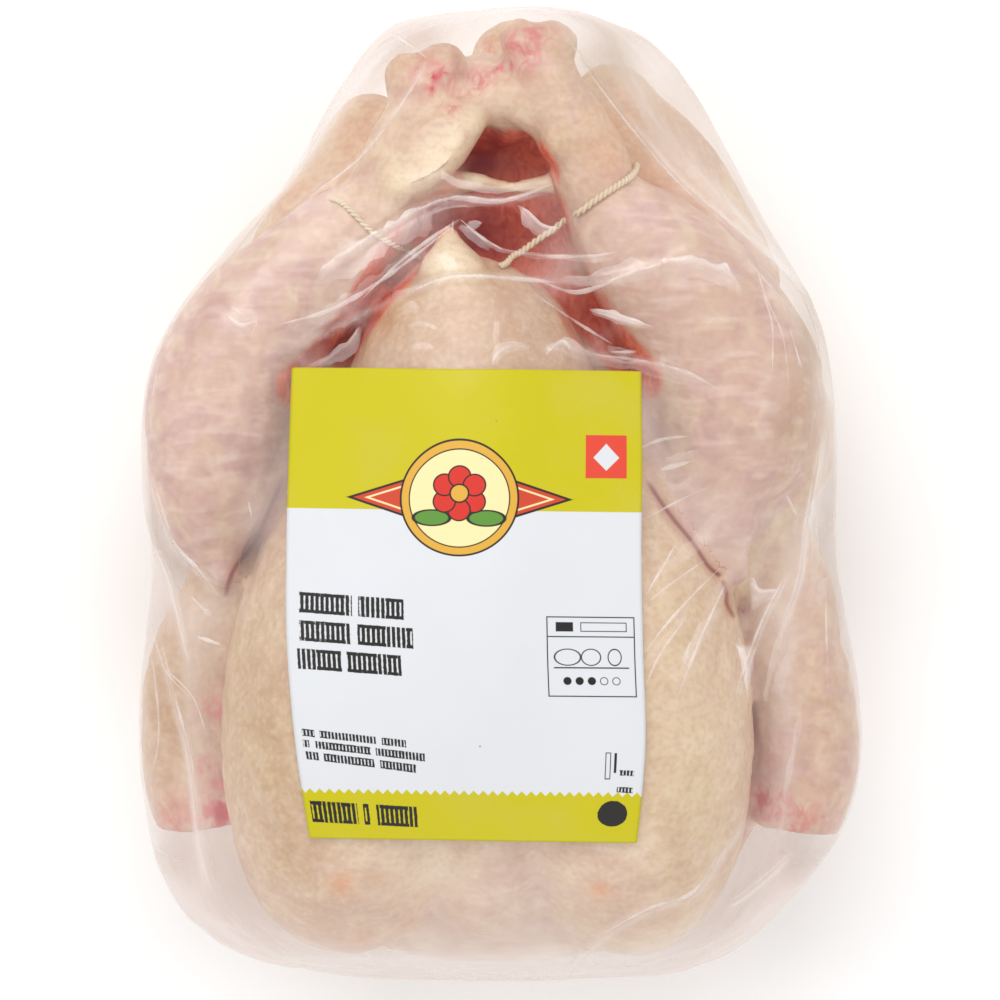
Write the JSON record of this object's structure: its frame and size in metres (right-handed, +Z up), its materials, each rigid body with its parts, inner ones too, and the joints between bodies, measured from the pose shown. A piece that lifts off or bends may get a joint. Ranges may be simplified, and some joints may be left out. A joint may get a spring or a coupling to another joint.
{
  "type": "whole raw chicken in a sealed bag",
  "caption": "Trussed whole raw chicken lying on its back in a clear sealed film bag, with a printed paper label over the breast.",
  "frame": {"origin": "on the table, under the middle of the pack's outline", "axes": "+Z up through the breast, +Y to the tail and the hocks, -Y to the neck, +X to the right when the bird is seen from above with the tail away from the viewer"},
  "size_m": [0.1814, 0.2456, 0.1052],
  "materials": {
    "film": "clear glossy film over pale pink skin",
    "label_paper": "satin coated paper, printed in yellow-green fields",
    "skin": "moist raw poultry skin",
    "string": "off-white elastic string"
  },
  "bodies": {
    "root": {"sealed_bag": "film", "label": "label_paper"}
  },
  "joints": []
}
